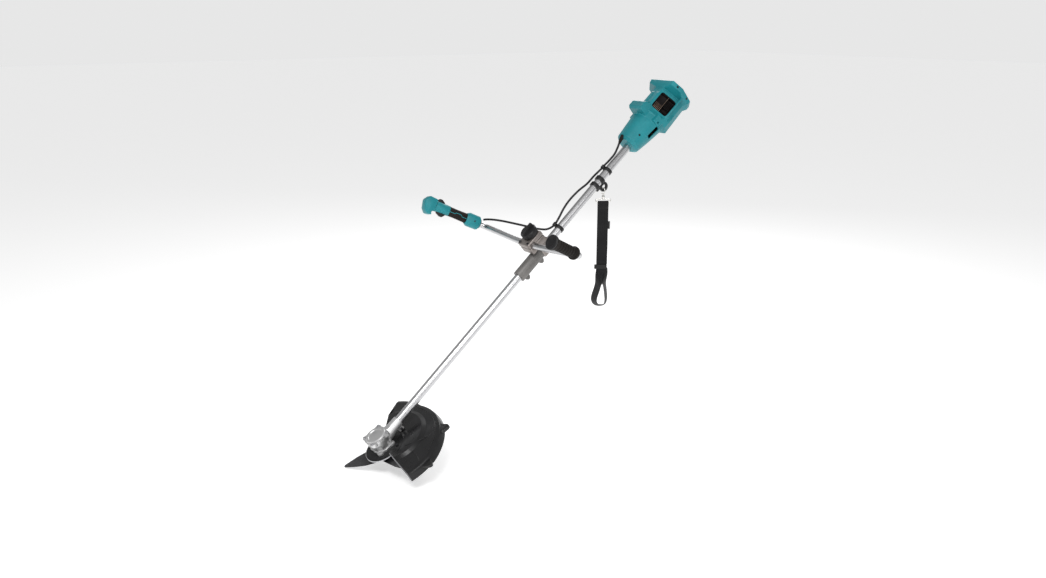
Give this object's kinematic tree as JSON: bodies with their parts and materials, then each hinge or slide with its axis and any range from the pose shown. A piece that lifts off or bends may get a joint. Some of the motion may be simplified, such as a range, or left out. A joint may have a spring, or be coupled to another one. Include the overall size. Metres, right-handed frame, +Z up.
{
  "type": "battery brush cutter",
  "caption": "Battery brush cutter: long alloy shaft, twin-bay teal motor housing, bull-horn handlebar with trigger grip, gear head with toothed blade and guard, shoulder strap.",
  "frame": {"origin": "on the axis of the main tube, under the handlebar clamp", "axes": "+X horizontal, from the gear head towards the motor; +Y to the operator's right; +Z up. The tube rises towards the motor at 40 degrees in the XZ plane, as the tool is held in the picture"},
  "size_m": [1.384, 0.6999, 1.2039],
  "materials": {
    "aluminium_tube": "polished drawn aluminium",
    "cast_alloy": "sandblasted casting",
    "clamp_alloy": "satin grey lacquer",
    "steel": "ground",
    "nickel": "nickel plate",
    "dark_steel": "dark lacquer",
    "screw_steel": "black oxide",
    "guard_plastic": "semi-gloss moulding",
    "black_plastic": "fine texture",
    "grey_plastic": "satin grey",
    "black_rubber": "matt",
    "teal_plastic": "satin teal moulding",
    "cable_jacket": "smooth jacket",
    "webbing": "woven polyester",
    "copper": "wound copper"
  },
  "bodies": {
    "frame": {"main_tube": "aluminium_tube", "shaft_liner": "black_rubber", "gear_case": "cast_alloy", "gear_case_cap": "cast_alloy", "cap_screw_1": "screw_steel", "cap_screw_2": "screw_steel", "cap_screw_3": "screw_steel", "cap_screw_4": "screw_steel", "neck_bolt": "screw_steel", "pinion_bearing": "steel", "lower_bearing": "steel", "guard_bracket": "guard_plastic", "bracket_screw_1": "screw_steel", "bracket_screw_2": "screw_steel", "blade_guard": "guard_plastic", "guard_bolt_1": "screw_steel", "guard_bolt_2": "screw_steel", "shaft_sleeve": "grey_plastic", "clamp_base": "clamp_alloy", "lower_cable_clip": "black_plastic", "upper_cable_clip": "black_plastic", "hanger_clamp": "black_plastic", "main_cable": "cable_jacket", "cable_boot": "black_rubber", "housing_left": "teal_plastic", "housing_right": "teal_plastic", "housing_screw_1": "screw_steel", "housing_screw_2": "screw_steel", "housing_screw_3": "screw_steel", "housing_screw_4": "screw_steel", "pack_tray_left": "black_plastic", "pack_tray_right": "black_plastic", "motor_stator": "copper"},
    "drive": {"drive_shaft": "steel", "pinion_gear": "steel", "motor_rotor": "dark_steel"},
    "spindle": {"output_gear_shaft": "steel", "blade_holder": "dark_steel", "cutting_blade": "dark_steel", "glide_cup": "dark_steel", "blade_nut": "steel"},
    "handlebar": {"handlebar_tube": "aluminium_tube", "bar_saddle": "clamp_alloy", "bar_cap": "clamp_alloy", "left_grip": "black_rubber", "left_grip_cap": "black_plastic", "grip_collar": "teal_plastic", "grip_body": "black_rubber", "grip_end_guard": "teal_plastic", "handle_cable": "cable_jacket"},
    "knob": {"clamp_knob": "black_plastic"},
    "trigger": {"trigger": "black_plastic"},
    "lock_lever": {"lock_off_lever": "black_plastic"},
    "button": {"power_button": "grey_plastic"},
    "hook": {"snap_hook": "nickel"},
    "gate": {"hook_gate": "nickel"},
    "strap": {"strap_ring": "nickel", "strap_webbing": "webbing", "strap_slider": "black_plastic", "strap_loop": "webbing"}
  },
  "joints": [
    {"name": "blade_spin", "type": "hinge", "parent": "frame", "child": "spindle", "pos_m": [-0.66416, 0, -0.5573], "axis": [-0.4848, 0, 0.8746], "continuous": true},
    {"name": "drive_spin", "type": "hinge", "parent": "frame", "child": "drive", "pos_m": [0, 0, 0], "axis": [0.766, 0, 0.6428], "continuous": true},
    {"name": "handlebar_swivel", "type": "hinge", "parent": "frame", "child": "handlebar", "pos_m": [-0.02554, 0, 0.01799], "axis": [-0.6428, 0, 0.766], "range_deg": [0, 90]},
    {"name": "knob_turn", "type": "hinge", "parent": "frame", "child": "knob", "pos_m": [-0.05524, 0, 0.05338], "axis": [-0.6428, 0, 0.766], "continuous": true},
    {"name": "trigger_pull", "type": "hinge", "parent": "handlebar", "child": "trigger", "pos_m": [-0.24085, 0.31075, 0.11144], "axis": [-0.1738, -0.9627, 0.2072], "range_deg": [0, 8], "stiffness_Nm_per_rad": 0.5, "springref_deg": -11.46},
    {"name": "lock_press", "type": "hinge", "parent": "handlebar", "child": "lock_lever", "pos_m": [-0.23467, 0.31471, 0.13506], "axis": [0.1738, 0.9627, -0.2072], "range_deg": [0, 5], "stiffness_Nm_per_rad": 0.3, "springref_deg": -11.46},
    {"name": "button_press", "type": "slide", "parent": "handlebar", "child": "button", "axis": [-0.1738, -0.9627, 0.2072], "range_m": [0, 0.0012], "stiffness_N_per_m": 300, "springref_m": -0.001},
    {"name": "hook_swing", "type": "hinge", "parent": "frame", "child": "hook", "pos_m": [0.26966, 0, 0.1807], "axis": [0, 1, 0], "range_deg": [-35, 35]},
    {"name": "gate_open", "type": "hinge", "parent": "hook", "child": "gate", "pos_m": [0.26966, 0.0078, 0.163], "axis": [1, 0, 0], "range_deg": [0, 20], "stiffness_Nm_per_rad": 0.02, "springref_deg": -17.19},
    {"name": "strap_swivel", "type": "hinge", "parent": "hook", "child": "strap", "pos_m": [0.26966, 0, 0.1348], "axis": [0, 0, 1], "continuous": true}
  ],
  "couplings": [
    {"joint": "drive_spin", "follows": "blade_spin", "ratio": -1.3333}
  ]
}
